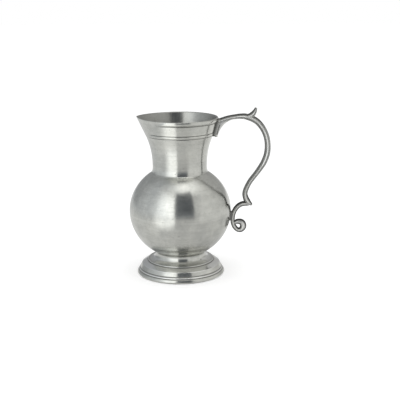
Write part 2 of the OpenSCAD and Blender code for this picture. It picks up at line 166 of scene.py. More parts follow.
def smooth_run(stations, steps):
    """Stations joined by a smooth curve through all of them."""
    p = np.asarray(stations, float)
    m = len(p) - 1
    out = []
    for i in range(m):
        a, b, c, d = p[max(0, i - 1)], p[i], p[i + 1], p[min(m, i + 2)]
        for k in range(steps):
            s = k / steps
            out.append(0.5 * (2 * b + (c - a) * s + (2 * a - 5 * b + 4 * c - d) * s**2
                              + (3 * b - a - 3 * c + d) * s**3))
    out.append(p[m])
    return np.array(out)


# ---- Meshes ----

TURN_STEPS = 288
SHARP_ANGLE = math.radians(35)


def link(name, data):
    """A new object in the scene."""
    made = bpy.data.objects.new(name, data)
    bpy.context.scene.collection.objects.link(made)
    return made


def mesh_piece(name, points, faces):
    """A smooth-shaded piece from points in millimetres."""
    mesh = bpy.data.meshes.new(name)
    mesh.from_pydata((np.asarray(points, float) * MM).tolist(), [], [tuple(f) for f in faces])
    piece = link(name, mesh)
    work = bmesh.new()
    work.from_mesh(mesh)
    bmesh.ops.remove_doubles(work, verts=work.verts, dist=0.002 * MM)
    bmesh.ops.recalc_face_normals(work, faces=work.faces)
    work.to_mesh(mesh)
    work.free()
    mesh.shade_smooth()
    mesh.set_sharp_from_angle(angle=SHARP_ANGLE)
    return piece


def apply_modifiers(piece):
    """Puts what a piece's modifiers make into its mesh."""
    graph = bpy.context.evaluated_depsgraph_get()
    piece.data = bpy.data.meshes.new_from_object(piece.evaluated_get(graph))
    piece.modifiers.clear()
    piece.data.shade_smooth()


def grid_faces(rows, columns, close_rows=False, close_columns=True):
    """Faces of a grid of points given row by row, which can close on itself either way."""
    i = np.arange(rows if close_rows else rows - 1)[:, None]
    j = np.arange(columns if close_columns else columns - 1)[None, :]
    ni, nj = (i + 1) % rows, (j + 1) % columns
    corners = [i * columns + j, ni * columns + j, ni * columns + nj, i * columns + nj]
    return np.stack(corners, -1).reshape(-1, 4)


def capped_faces(rings, n):
    """Faces of a tube of rings of n points, closed at both ends."""
    last = rings * n - 1
    caps = [tuple(range(n)), tuple(range(last, last - n, -1))]
    return [tuple(f) for f in grid_faces(rings, n)] + caps


def turned(name, section):
    """A solid turned about the jug's axis, from its closed section of (radius, height)."""
    section = np.asarray(section, float)
    turn = np.linspace(0, 2 * np.pi, TURN_STEPS, endpoint=False)[:, None]
    r = np.maximum(section[None, :, 0], 1e-3)
    points = np.stack([r * np.cos(turn), r * np.sin(turn), section[None, :, 1] + 0 * turn], -1)
    return mesh_piece(name, points.reshape(-1, 3),
                      grid_faces(TURN_STEPS, len(section), close_rows=True))


def store(piece, name, amount):
    """Stores amount(x, y, z), in millimetres, as a share from 0 to 1 at each point."""
    co = np.zeros(len(piece.data.vertices) * 3)
    piece.data.vertices.foreach_get("co", co)
    x, y, z = co.reshape(-1, 3).T / MM
    values = np.clip(amount(x, y, z), 0, 1).astype(np.float32)
    layer = piece.data.attributes.new(name, "FLOAT", "POINT")
    layer.data.foreach_set("value", values)


# The stored amount darkens the pewter: real dirt and patina in some places, painted shade in
# others.
def soil_and_shade(piece, amount):
    store(piece, "soil_and_shade", amount)


def soil_and_shade_rings(piece, rings):
    """Dirt, patina and painted shade in rings about the axis, each (radius, height, reach,
    strength).
    """
    def amount(x, y, z):
        r = np.hypot(x, y)
        total = np.zeros_like(r)
        for ring_r, ring_z, reach, strength in rings:
            gap = np.hypot(r - ring_r, z - ring_z)
            total = np.maximum(total, strength * peak(gap, 0, reach))
        return total
    soil_and_shade(piece, amount)


# ---- Neck profile ----

crease_r = throat_r + neck_spread
spigot_r = crease_r - wall * spigot_share
crease_up = oval_angle(crease_r)
crease_z = oval(crease_up)[0, 1]
throat_z = crease_z + throat_rise
collar_z = rim_h - collar_h
groove_z = rim_h - rim_bead_h
collar_r = throat_r + flare
collar_rate = collar_spread / (groove_z - collar_z)
rim_r = collar_r + collar_spread + collar_rate * rim_bead_h
rim_top_r = rim_r - wall / 2
lower_line_z = collar_z + line_w / 2
upper_line_z = lower_line_z + collar_bead_w


def neck_outer(z):
    """Outer radius of the neck at height z, without lines, beads or rounded rim."""
    z = np.asarray(z, float)
    low = throat_r + neck_spread * np.clip((throat_z - z) / throat_rise, 0, None) ** spread_power
    rise = np.clip((z - throat_z) / (collar_z - throat_z), 0, 1)
    mid = throat_r + flare * rise**flare_power
    top = collar_r + (z - collar_z) * collar_rate
    return np.where(z < throat_z, low, np.where(z < collar_z, mid, top))


def line_at(z, at):
    return peak(z, at, line_w * 0.34)


def neck_features(z):
    """How far the turned lines and the collar's bead stand out from the plain neck."""
    bead = np.clip(1 - np.abs(z - (lower_line_z + upper_line_z) / 2) / (collar_bead_w / 2), 0, 1)
    lines = line_at(z, lower_line_z) + line_at(z, upper_line_z) + line_at(z, groove_z)
    return collar_bead_out * np.sqrt(bead) - line_depth * 0.8 * lines


# ---- Foot ----

bead_z = band_h + bead_h
knee_z = bead_z + steep_h
step_z = knee_z + slope_h
cove_z = step_z + step_h
seat_out, seat_in = -oval_angle(seat_r), -oval_angle(seat_r - wall)
seat_z = oval(seat_out)[0, 1]
band_top_r = foot_r - band_lean
bead_top_r = band_top_r - bead_lean

# Both outlines run from one bend to the next, each with a given middle point
foot_outside = np.vstack([
    bend_run([foot_r - edge_w, 0], [foot_r - 0.2, 0.1], [foot_r, edge_h], 8),
    bend_run([foot_r, edge_h + 0.1], [foot_r - 0.6, band_h * 0.72],
             [band_top_r + 0.6, band_h], 10),
    [[band_top_r - line_depth, band_h + line_w / 2]],
    bend_run([band_top_r - line_depth * 0.25, band_h + line_w],
             [band_top_r, band_h + bead_h * 0.7], [bead_top_r, bead_z], 10),
    [[bead_top_r - line_depth, bead_z + line_w / 2]],
    bend_run([bead_top_r - line_depth * 0.25, bead_z + line_w],
             [bead_top_r - 1.35, bead_z + steep_h * 0.66], [knee_r + 0.8, knee_z + 0.6], 10),
    bend_run([knee_r + 0.2, knee_z + 0.95], [knee_r - 2.0, knee_z + 2.3],
             [step_r + line_w, step_z - 0.1], 14),
    [[step_r - line_depth / 2, step_z], [step_r, step_z + step_h * 0.3]],
    bend_run([step_r, cove_z - step_h * 0.3], [step_r, cove_z], [step_r - line_w, cove_z], 6),
    bend_run([step_r - line_w - line_depth, cove_z], [seat_r, cove_z + (seat_z - cove_z) * 0.1],
             [seat_r, seat_z - fillet_leg], 24),
    oval(seat_out),
])
foot_inside = np.vstack([
    oval(seat_in),
    [[seat_r - wall, seat_z - fillet_leg - wall]],
    bend_run([seat_r - wall, cove_z + wall / 2], [seat_r, cove_z - wall],
             [step_r - wall, cove_z - wall], 12),
    bend_run([step_r, step_z - wall], [knee_r - wall, knee_z - wall],
             [foot_r - rest_w, band_h / 2], 12),
    [[foot_r - rest_w, 0]],
])
foot = turned("foot_turned", np.vstack([soften(foot_outside), soften(foot_inside, 0.6, 1)]))
foot_junction = [(seat_r + 0.3, seat_z - 0.3, 0.6, 0.4)]
soil_and_shade_rings(foot, foot_junction + [
    (band_top_r - line_depth, band_h + line_w / 2, 0.55, 1.0),
    (bead_top_r - line_depth, bead_z + line_w / 2, 0.55, 1.0),
    (step_r, step_z, 0.7, 0.8),
    (step_r - line_w * 1.4, cove_z + 0.1, 0.5, 0.45),
    # The last ring is a painted contact shadow along the foot's bottom edge; the others are
    # patina in the turned lines and dirt in the joint.
    (foot_r - 1.1, 0, 1.1, 1.0),
])


def foot_highlight_and_wear(x, y, z):
    """Painted highlights, with some rubbed wear, on the slope, on the bead between the two
    lines, and on the ledge.
    """
    slope = 0.8 * between(z, knee_z, knee_z + 0.8, step_z - 0.4, step_z + 0.2)
    bead = 0.8 * between(z, band_h + line_w * 0.8, band_h + line_w * 1.3, bead_z - 0.5, bead_z)
    ledge = 0.6 * between(z, step_z + 0.5, step_z + 1, cove_z + 2, cove_z + 4)
    return slope + bead + ledge


# Painted highlights and rubbed wear on the foot, stored for the material.
store(foot, "highlight_and_wear", foot_highlight_and_wear)

foot_beside = oval(-oval_angle(seat_r + fillet_leg))[0]
foot_corner = oval(seat_out)[0]
foot_seam = turned("foot_seam_wiped", np.vstack([
    [foot_corner],
    bend_run(foot_beside, foot_corner, foot_corner - [0, fillet_leg], 8),
]))
soil_and_shade_rings(foot_seam, foot_junction)

# ---- Bowl ----

seam_top = math.degrees(math.asin(seam_half_w / bowl_rise))
seam_low = -math.degrees(math.asin(seam_half_w / bowl_drop))
lap_in = -math.degrees(math.asin(lap_h / (bowl_drop - wall)))
lap_r, lap_z = bowl_r - wall / 2, bowl_z - lap_h
seam_floor = [bowl_r - seam_depth, bowl_z]
neck_beside = oval_angle(crease_r + fillet_leg)

lower_bowl = turned("lower_bowl_turned", np.vstack([
    oval_run(-90, seat_in, steps=30), oval(seat_out),
    oval_run(-oval_angle(seat_r + fillet_leg), seam_low, steps=110),
    [seam_floor, [lap_r, bowl_z], [lap_r, lap_z]],
    oval_run(lap_in, -90, wall, 90),
]))
soil_and_shade_rings(lower_bowl, foot_junction)

upper_bowl = turned("upper_bowl_turned", np.vstack([
    [seam_floor], oval_run(seam_top, neck_beside, steps=110),
    oval(crease_up), oval(oval_angle(spigot_r)),
    oval_run(oval_angle(spigot_r, wall), 0, wall, 90),
    oval(lap_in, wall), [[lap_r, lap_z], [lap_r, bowl_z]],
]))
neck_junction = [(crease_r + 0.2, crease_z + 0.2, 0.7, 0.2)]
soil_and_shade_rings(upper_bowl, neck_junction)

bowl_seam = turned("bowl_seam_turned", np.vstack([
    oval_run(seam_low, seam_top, steps=4), [seam_floor],
]))
soil_and_shade_rings(bowl_seam, [(bowl_r, bowl_z, 0.8, 0.06)])

# ---- Neck with its lip ----

neck_corner = np.array([crease_r, crease_z])
neck_above = np.array([float(neck_outer(crease_z + fillet_leg)), crease_z + fillet_leg])
neck_seam = turned("neck_seam_wiped", np.vstack([
    [neck_corner], bend_run(neck_above, neck_corner, oval(neck_beside)[0], 10),
]))
soil_and_shade_rings(neck_seam, neck_junction)

# Heights along the outside, close together where the lines are
line_step, line_margin = 0.09, 1.0
fine_z = np.unique(np.concatenate([
    np.linspace(crease_z, collar_z - line_margin, 70),
    np.arange(collar_z - line_margin, upper_line_z + 1.2 * line_margin, line_step),
    np.linspace(upper_line_z + 1.2 * line_margin, groove_z - line_margin, 24),
    np.arange(groove_z - line_margin, groove_z + line_w * 0.9, line_step),
]))
outside = np.column_stack([neck_outer(fine_z), fine_z])
outside_out = neck_features(fine_z)
rim_start_z = groove_z + rim_bead_h * 0.45
rim_start = np.array([float(neck_outer(rim_start_z)) + rim_bead_out, rim_start_z])
rim_bend = bend_run(rim_start, [rim_r + rim_bead_out * 0.7, rim_h], [rim_top_r, rim_h], 20)
rim_foot = np.array([outside[-1, 0] + outside_out[-1], outside[-1, 1]])
rim_rise = bend_run(rim_foot, [rim_start[0] - 0.12, (rim_foot[1] + rim_start[1]) / 2 - 0.4],
                    rim_start, 10)[1:-1]
rim_path = np.vstack([rim_rise, rim_bend])
rim_out = rim_path[:, 0] - np.minimum(neck_outer(rim_path[:, 1]), rim_path[:, 0])
bore_top = [float(neck_outer(rim_h)) - wall, rim_h]
bore_start = [float(neck_outer(rim_h - wall / 2)) - wall, rim_h - wall / 2]
bore_z = np.linspace(rim_h - wall / 2, crease_z, 90)
bore = np.vstack([
    bend_run([rim_top_r, rim_h], bore_top, bore_start, 8)[1:-1],
    np.column_stack([neck_outer(bore_z) - wall, bore_z]),
    [[spigot_r - wall, crease_z - spigot_h], [spigot_r, crease_z - spigot_h]],
    oval(oval_angle(spigot_r)),
])
path = np.vstack([outside, rim_path, bore])
no_feature = np.zeros(len(bore))
feature = np.concatenate([outside_out, rim_out, no_feature])
base_r = path[:, 0] - np.concatenate([np.zeros(len(outside)), rim_out, no_feature])

lip_low_z = rim_h - lip_cut_h
lip_fade = 9.0
NECK_STEPS = 720
around = np.linspace(-np.pi, np.pi, NECK_STEPS, endpoint=False)[:, None]
nominal = np.clip(path[None, :, 1], None, rim_h)


def lip_at(angle, z):
    """How far up the lip a height is, the angle of the lip's edge there, and its swell."""
    up = np.clip((z - lip_low_z) / lip_cut_h, 0, 1)
    half = lip_end_w / 2 + (lip_half_w - lip_end_w / 2) * up
    edge = np.arcsin(np.clip(half / neck_outer(z), 0, 1)) * (up > 0)
    side = np.abs(angle) / np.maximum(edge, 1e-6)
    return up, edge, np.clip(1 - side, 0, 1) ** 1.7 * (up > 0)


def lip_clear(angle, up, edge, r):
    """0 on the lip, rising to 1 beyond its edge, over a shorter way higher up."""
    reach = lip_fade * (2.8 - 2 * up)
    return smoothstep((np.abs(angle) - edge) * r, reach / 4, reach)


up, edge, swell = lip_at(around, nominal)
lift = lip_rise * swell * up
keep = np.where(up > 0, lip_clear(around, up, edge, path[None, :, 0]), 1.0)
radius = (base_r[None, :] + feature[None, :] * keep + lip_out * up * swell
          + neck_outer(nominal + lift) - neck_outer(nominal))
height = path[None, :, 1] + lift
neck_points = np.stack([-radius * np.cos(around), -radius * np.sin(around), height], -1)
neck = mesh_piece("neck_and_lip", neck_points.reshape(-1, 3),
                  grid_faces(NECK_STEPS, len(path), close_rows=True))


def neck_soil_and_shade(x, y, z):
    """Patina in the lines, which end at the lip, dirt in the crease, and painted shade all over
    the inside, deeper towards the lip.
    """
    r = np.hypot(x, y)
    from_lip = np.abs(np.arctan2(y, -x))
    rise, lip_edge, out = lip_at(from_lip, z)
    within = r < neck_outer(z) + lip_out * rise * out - wall * 0.6
    shown = lip_clear(from_lip, rise, lip_edge, r) * ~within
    lines = 0.9 * sum(peak(z, at, 0.3) for at in (lower_line_z, upper_line_z))
    groove = 0.8 * peak(z, groove_z, 0.4)
    crease = 0.3 * peak(z, crease_z, 1.2)
    # Painted shade inside the neck, deeper on the lip's side.
    inside = within * (0.34 + 0.1 * smoothstep(-x, 0, 20))
    return np.maximum(np.maximum(lines, groove) * shown, np.maximum(crease, inside))


soil_and_shade(neck, neck_soil_and_shade)

# ---- Handle ----

SWEEP_STEPS, SPINE_STEPS, WEB_POINTS = 14, 40, 24
pad_top_z = rim_h - pad_drop
pad_low_z = pad_top_z - pad_h


def pad_face(z):
    """How far out the pad's face is at height z."""
    return collar_r + (z - collar_z) * collar_rate + pad_t


# Half of the strap's section: its outer face, one side with a ridge between two flutes, and
# its inner face
section_half = [[1, 0.0], [1, 0.5], [0.93, 0.82], [0.76, 0.9], [0.48, 0.76], [0.22, 0.92]]
section_half = section_half + [[0, 1]] + [[-a, b] for a, b in section_half[::-1]]
section_ring = section_half + [[a, -b] for a, b in section_half[-2:0:-1]]
section_loop = np.array(section_ring + section_ring[:1], float)
section = resample(smooth_run(section_loop, 4), 0.14)[:-1]


def spine_of(stations, steps):
    """The middle of a sweep along stations of (x, z, thickness, width), and its direction."""
    run = smooth_run(stations, steps)
    ahead = np.vstack([run[1:], run[-1:]])
    behind = np.vstack([run[:1], run[:-1]])
    u = ahead[:, :2] - behind[:, :2]
    return np.column_stack([run, u / np.linalg.norm(u, axis=1, keepdims=True)])


def swept(name, stations):
    """The strap's section carried along stations."""
    cx, cz, t, w, ux, uz = (c[:, None] for c in spine_of(stations, SWEEP_STEPS).T)
    p0, p1 = section.T
    rings = np.stack([cx - uz * p0 * t / 2, p1 * w / 2 + 0 * cx, cz + ux * p0 * t / 2], -1)
    return mesh_piece(name, rings.reshape(-1, 3), capped_faces(len(rings), len(section)))


touch_share, join_share, low_reach_share = 0.25, 0.426, 1.818
touch_z = bowl_z - touch_share * scroll_size
touch_x = oval(-math.degrees(math.asin((bowl_z - touch_z) / bowl_drop)))[0, 0] + scroll_gap
top_x = pad_face(pad_top_z)
strap_drop = rim_h - touch_z - join_share * scroll_size
low_reach = low_reach_share * scroll_size


def strap_place(s):
    """A station of the strap, (x, z, thickness, width), from its shares."""
    x, z, t, w = s
    reach = strap_reach * (1 - z) + low_reach * z
    return [top_x + (touch_x - top_x) * z + x * reach, rim_h - z * strap_drop,
            t * strap_t, w * strap_w]


def scroll_place(s):
    """A station of the lower scroll, from its shares."""
    x, z, t, w = s
    return [touch_x + x * scroll_size, touch_z + z * scroll_size, t * strap_t, w * strap_w]


strap_shares = [
    [-0.07, 0.052, 0.78, 1], [0.02, 0.035, 0.8, 1], [0.14, 0.014, 0.78, 1],
    [0.26, 0.002, 0.8, 1], [0.39, -0.005, 0.9, 1], [0.5, 0.001, 1.04, 1],
    [0.655, 0.039, 1.12, 1], [0.757, 0.102, 1.12, 1], [0.825, 0.19, 1.12, 1],
    [0.847, 0.29, 1.09, 1], [0.819, 0.405, 1.1, 1], [0.732, 0.515, 1.04, 1],
    [0.582, 0.628, 0.88, 1], [0.415, 0.74, 0.86, 1], [0.31, 0.85, 0.94, 1],
    [0.308, 0.92, 1.1, 1], [0.345, 0.965, 1.02, 0.95], [0.41, 0.997, 0.34, 0.8],
]
spur_shares = [
    [0.455, 0.006, 0.6, 0.95], [0.547, -0.004, 0.86, 0.95], [0.62, -0.026, 0.94, 0.9],
    [0.669, -0.06, 0.7, 0.8], [0.7, -0.096, 0.4, 0.65],
]
scroll_shares = [
    [0.66, 0.462, 0.5, 0.75], [0.57, 0.468, 0.72, 0.85],
    [0.45, 0.468, 0.78, 0.9], [0.34, 0.433, 0.76, 0.9],
    [0.23, 0.35, 0.78, 0.9], [0.14, 0.225, 0.8, 0.88], [0.085, 0.075, 0.82, 0.86],
    [0.065, -0.08, 0.82, 0.84], [0.075, -0.235, 0.82, 0.82], [0.135, -0.38, 0.82, 0.78],
    [0.235, -0.485, 0.74, 0.74], [0.335, -0.5, 0.74, 0.72],
]
curl_shares = [
    [0.235, -0.485, 0.5, 0.55], [0.33, -0.5, 0.84, 0.72], [0.412, -0.437, 1.08, 0.7],
    [0.443, -0.33, 1.24, 0.7], [0.395, -0.225, 1.14, 0.7], [0.295, -0.19, 0.95, 0.68],
    [0.2, -0.2, 0.8, 0.66], [0.13, -0.225, 0.5, 0.6],
]

strap = [strap_place(s) for s in strap_shares]
spur = [strap_place(s) for s in spur_shares]
scroll = [scroll_place(s) for s in scroll_shares]
curl = [scroll_place(s) for s in curl_shares]

# The root: a web under the strap with an arched underside and rounded edges
web_round = strap_t / 6
web_half = strap_w * 0.44
turn_share, turn_reach_share, far_share, far_reach_share = 0.018, 0.03, 0.006, 0.34
web_low = [pad_face(rim_h - root_drop) + 2 * web_round, rim_h - root_drop]
web_turn = [top_x + (touch_x - top_x) * turn_share + turn_reach_share * strap_reach,
            rim_h - turn_share * strap_drop]
web_far = [top_x + far_reach_share * strap_reach, rim_h - far_share * strap_drop]
shares = np.linspace(0, 1, 41)
low_run = bend(web_low, web_turn, web_far, shares)
low_run = np.vstack([low_run[0] - [pad_t, 0], low_run])
high_shares = 0.032 - 0.036 * np.concatenate([[0], shares])
high_z = rim_h - high_shares * strap_drop
cross = []
for k in range(WEB_POINTS):
    a = 2 * math.pi * k / WEB_POINTS
    cross.append([math.copysign(abs(v) ** 0.5, v) for v in (math.cos(a), math.sin(a))])
web_rings = []
for (x, z), top in zip(low_run, high_z):
    mid, tall = (z - web_round + top) / 2, max((top - z + web_round) / 2, web_round)
    web_rings.append([[x, web_half * a, mid + tall * b] for a, b in cross])
web_rings = np.array(web_rings)

handle = swept("handle_cast", strap)
others = [swept("spur", spur), swept("scroll", scroll), swept("curl", curl),
          mesh_piece("root", web_rings.reshape(-1, 3),
                     capped_faces(len(web_rings), len(cross)))]
for other in others:
    joined = handle.modifiers.new(other.name, "BOOLEAN")
    joined.operation = "UNION"
    joined.solver = "EXACT"
    joined.object = other
apply_modifiers(handle)
handle.data.set_sharp_from_angle(angle=SHARP_ANGLE)
for other in others:
    bpy.data.objects.remove(other)

# The end at the collar stays inside the pad
root_sink = 0.8
for v in handle.data.vertices:
    v.co.x = max(v.co.x, (pad_face(v.co.z / MM) - root_sink) * MM)

spine = np.vstack([spine_of(stations, SPINE_STEPS) for stations in (strap, spur, scroll, curl)])
tree = kdtree.KDTree(len(spine))
for k, s in enumerate(spine):
    tree.insert(Vector((s[0], 0, s[1])), k)
tree.balance()


def section_place(x, y, z):
    """Where points lie in the strap's section: along its thickness and its width, -1 to 1."""
    out = np.zeros((len(x), 2))
    for k in range(len(x)):
        _, n, _ = tree.find(Vector((x[k], 0, z[k])))
        cx, cz, t, w, ux, uz = spine[n]
        out[k] = (((x[k] - cx) * -uz + (z[k] - cz) * ux) / (t / 2), abs(y[k]) / (w / 2))
    return out.T


def on_scroll(z):
    return z < bowl_z + 0.6 * scroll_size


def on_web(x, z):
    """True on the root's web, between the collar and where the strap goes on alone."""
    return (x < web_far[0]) & (z < rim_h - 0.05 * strap_drop) & (z > rim_h - root_drop - 4)


def handle_soil_and_shade(x, y, z):
    """Darker along the flutes and edges of each side: patina in the flutes and painted shade
    along the edges, most on top, least outside lower down.
    """
    p0, _ = section_place(x, y, z)
    top = smoothstep(z, rim_h - 14, rim_h - 6)
    outer = (0.5 + 0.4 * top) * smoothstep(p0, 0.3 + 0.15 * top, 0.8)
    inner = (0.6 - 0.2 * top) * smoothstep(-p0, 0.35, 0.75)
    inner *= smoothstep(x + 40 * (z < collar_z), 58, 76)
    scrolled = on_scroll(z) * smoothstep(np.abs(p0), 0.4, 0.8)
    return np.where(on_web(x, z), 0.0, np.maximum(np.maximum(outer, inner), scrolled))


def handle_highlight_and_wear(x, y, z):
    """Painted highlight, with some rubbed wear, on the middle ridge of each side, and lighter on
    the root's web.
    """
    p0, p1 = section_place(x, y, z)
    ridge = peak(p0, 0, 0.25 + 0.12 * on_scroll(z)) * smoothstep(p1, 0.5, 0.8)
    return np.where(on_web(x, z), 0.7, ridge)


soil_and_shade(handle, handle_soil_and_shade)
store(handle, "highlight_and_wear", handle_highlight_and_wear)

# The pad: outer face flat, sides tapered, cut corners, its back inside the collar's wall
pad_side = [
    [pad_w / 2 - pad_corner, pad_top_z], [pad_w / 2, pad_top_z - pad_corner],
    [pad_low_w / 2, pad_low_z + pad_corner], [pad_low_w / 2 - pad_corner, pad_low_z],
]
pad_ring = pad_side + [[-y, z] for y, z in pad_side[::-1]]
ring_front = [[pad_face(z), y, z] for y, z in pad_ring]
ring_back = [[math.sqrt(float(neck_outer(z)) ** 2 - y * y) - wall / 2, y, z]
             for y, z in pad_ring]
n = len(pad_ring)
pad_faces = [tuple(range(n)), tuple(range(2 * n - 1, n - 1, -1))]
pad_faces += [(k, n + k, n + (k + 1) % n, (k + 1) % n) for k in range(n)]
pad = mesh_piece("handle_pad_filed", ring_front + ring_back, pad_faces)
cut = pad.modifiers.new("edges", "BEVEL")
cut.width = 0.6 * MM
cut.segments = 4
apply_modifiers(pad)
# The pad a little dark all over and darker on its sides: patina, and painted shade in the joint
# with the collar.
soil_and_shade(pad, lambda x, y, z: 0.25 + 0.75 * smoothstep(pad_face(z) - x, 0.5, 1.6))


# ---- Materials ----

def math_node(t, operation, a, b=None):
    node = t.nodes.new("ShaderNodeMath")
    node.operation = operation
    for k, value in enumerate((a, b)):
        if value is None:
            continue
        if isinstance(value, (int, float)):
            node.inputs[k].default_value = value
        else:
            t.links.new(value, node.inputs[k])
    return node.outputs[0]


def ramp(t, source, stops):
    node = t.nodes.new("ShaderNodeValToRGB")
    t.links.new(source, node.inputs[0])
    while len(node.color_ramp.elements) < len(stops):
        node.color_ramp.elements.new(0.5)
    for element, (at, colour) in zip(node.color_ramp.elements, stops):
        element.position = at
        element.color = (*colour, 1)
    return node.outputs[0]


def attribute(t, name, output="Fac"):
    """The amount that store() or lit_grid() put at each point under a name."""
    node = t.nodes.new("ShaderNodeAttribute")
    node.attribute_name = name
    return node.outputs[output]


def mix_colour(t, fac, a, b, blend="MIX"):
    """Colours a and b mixed. A colour node has them at sockets 6 and 7, its result at 2."""
    node = t.nodes.new("ShaderNodeMix")
    node.data_type = "RGBA"
    node.blend_type = blend
    for socket, value in ((node.inputs[0], fac), (node.inputs[6], a), (node.inputs[7], b)):
        if isinstance(value, (int, float)):
            socket.default_value = value
        elif isinstance(value, tuple):
            socket.default_value = (*value, 1)
        else:
            t.links.new(value, socket)
    return node.outputs[2]


def pewter(name, light, dark, stain_and_shade, roughness, is_turned, dents):
    """Pewter of two close greys with marks and stains, turned or cast, darkened by stored dirt
    and painted shade and lightened by stored painted highlight and wear.
    """
    material = bpy.data.materials.new(name)
    material.use_nodes = True
    t = material.node_tree
    shader = t.nodes["Principled BSDF"]
    shader.inputs["Metallic"].default_value = 1.0
    place = t.nodes.new("ShaderNodeTexCoord").outputs["Object"]
    split = t.nodes.new("ShaderNodeSeparateXYZ")
    t.links.new(place, split.inputs[0])
    x, y, z = split.outputs

    def noise(source, scale, detail=2.0, ragged=0.5):
        node = t.nodes.new("ShaderNodeTexNoise")
        node.inputs["Scale"].default_value = scale
        node.inputs["Detail"].default_value = detail
        node.inputs["Roughness"].default_value = ragged
        t.links.new(source, node.inputs["Vector"])
        return node.outputs["Fac"]

    def bump(height, strength, distance, below=None, invert=False):
        node = t.nodes.new("ShaderNodeBump")
        node.invert = invert
        node.inputs["Strength"].default_value = strength
        node.inputs["Distance"].default_value = distance
        t.links.new(height, node.inputs["Height"])
        if below is not None:
            t.links.new(below, node.inputs["Normal"])
        return node.outputs[0]

    # Coordinates that run round the axis and along the profile, for the turning lines
    r = math_node(t, "SQRT", math_node(t, "ADD", math_node(t, "MULTIPLY", x, x),
                                       math_node(t, "MULTIPLY", y, y)))
    along = math_node(t, "ADD", z, math_node(t, "MULTIPLY", r, 0.8))
    stretch = t.nodes.new("ShaderNodeCombineXYZ")
    round_share = 0.03
    t.links.new(math_node(t, "MULTIPLY", x, round_share), stretch.inputs[0])
    t.links.new(math_node(t, "MULTIPLY", y, round_share), stretch.inputs[1])
    t.links.new(along, stretch.inputs[2])
    turning = stretch.outputs[0]
    fine = noise(turning if is_turned else place, 2200 if is_turned else 1500, 3.0)
    broad = noise(turning, 260, 2.0)
    cloud = noise(place, 34, 5.0, 0.62)
    smear = noise(turning if is_turned else place, 90, 4.0, 0.6)
    blotch = noise(place, 130, 3.0, 0.65)
    pits = noise(place, 400, 2.0, 0.6)
    soft = noise(place, 75, 2.0)

    tone = ramp(t, cloud, [(0.34, dark), (0.66, light)])
    for marks, low in ((broad if is_turned else pits, 0.94), (smear, 0.95), (blotch, 0.88),
                       (fine, 0.94)):
        lines = ramp(t, marks, [(0.35, (low,) * 3), (0.65, (1.0,) * 3)])
        tone = mix_colour(t, 1.0, tone, lines, "MULTIPLY")
    pit_mask = ramp(t, pits, [(0.675, (0, 0, 0)), (0.74, (1, 1, 1))])
    tone = mix_colour(t, math_node(t, "MULTIPLY", pit_mask, 0.35 if is_turned else 0.2), tone,
                      stain_and_shade)
    dirt_and_shade = attribute(t, "soil_and_shade")
    # Painted highlight, with some rubbed wear, lightens the tone where the stored amount says.
    tone = mix_colour(t, attribute(t, "highlight_and_wear"), tone, (0.8, 0.8, 0.775))
    # Dirt, patina and painted shade darken the tone to the stain colour where the stored amount
    # says.
    tone = mix_colour(t, math_node(t, "MULTIPLY", dirt_and_shade, 0.92), tone, stain_and_shade)
    t.links.new(tone, shader.inputs["Base Color"])

    rough = math_node(t, "ADD", math_node(t, "MULTIPLY", cloud, 0.12), roughness - 0.06)
    rough = math_node(t, "ADD", rough, math_node(t, "MULTIPLY", dirt_and_shade, 0.28))
    t.links.new(rough, shader.inputs["Roughness"])

    normal = bump(fine, 0.25, 0.00003)
    normal = bump(soft, dents, 0.0004, normal)
    normal = bump(pit_mask, 0.35, 0.0001, normal, invert=True)
    t.links.new(normal, shader.inputs["Normal"])
    if is_turned:
        shader.inputs["Anisotropic"].default_value = 0.6
        shader.inputs["Anisotropic Rotation"].default_value = 0.25
        tangent = t.nodes.new("ShaderNodeTangent")
        tangent.direction_type = "RADIAL"
        tangent.axis = "Z"
        t.links.new(tangent.outputs[0], shader.inputs["Tangent"])
    return material


turned_pewter = pewter(
    "turned_pewter", light=(0.66, 0.662, 0.612), dark=(0.55, 0.556, 0.52),
    stain_and_shade=(0.06, 0.06, 0.057), roughness=0.21, is_turned=True, dents=0.22)
cast_pewter = pewter(
    "cast_pewter", light=(0.60, 0.602, 0.565), dark=(0.52, 0.524, 0.496),
    stain_and_shade=(0.035, 0.035, 0.034), roughness=0.32, is_turned=False, dents=0.08)
solder = pewter(
    "wiped_solder", light=(0.24, 0.24, 0.23), dark=(0.16, 0.16, 0.153),
    stain_and_shade=(0.05, 0.05, 0.047), roughness=0.4, is_turned=False, dents=0.3)

dressed = [
    (foot, ["foot"], "pewter", turned_pewter),
    (foot_seam, ["foot_seam"], "solder", turned_pewter),
    (lower_bowl, ["lower_bowl"], "pewter", turned_pewter),
    (upper_bowl, ["upper_bowl"], "pewter", turned_pewter),
    (bowl_seam, ["bowl_seam"], "solder", turned_pewter),
    (neck, ["neck", "pouring_lip", "lip_seam"], "pewter", turned_pewter),
    (neck_seam, ["neck_seam"], "solder", turned_pewter),
    (handle, ["handle"], "cast_pewter", cast_pewter),
    (pad, ["handle_pad"], "cast_pewter", cast_pewter),
]
for piece, nodes, slot_name, material in dressed:
    piece.data.materials.clear()
    piece.data.materials.append(material)
    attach(piece, "root")
    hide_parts(*nodes)
for name in ("handle_root_solder", "handle_foot_solder"):
    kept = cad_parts[name]
    for slot_ in kept.material_slots:
        slot_.material = solder


# ---- Stage, light and camera ----

def stage_material(name, build):
    material = bpy.data.materials.new(name)
    material.use_nodes = True
    t = material.node_tree
    t.nodes.clear()
    out = t.nodes.new("ShaderNodeOutputMaterial")
    t.links.new(build(t), out.inputs["Surface"])
    return material


def seen_directly(t):
    """1 for the camera's rays and for mirror and glass rays."""
    path_ = t.nodes.new("ShaderNodeLightPath").outputs
    total = math_node(t, "ADD", path_["Is Camera Ray"], path_["Is Glossy Ray"])
    total = math_node(t, "ADD", total, path_["Is Transmission Ray"])
    return math_node(t, "MINIMUM", total, 1.0)


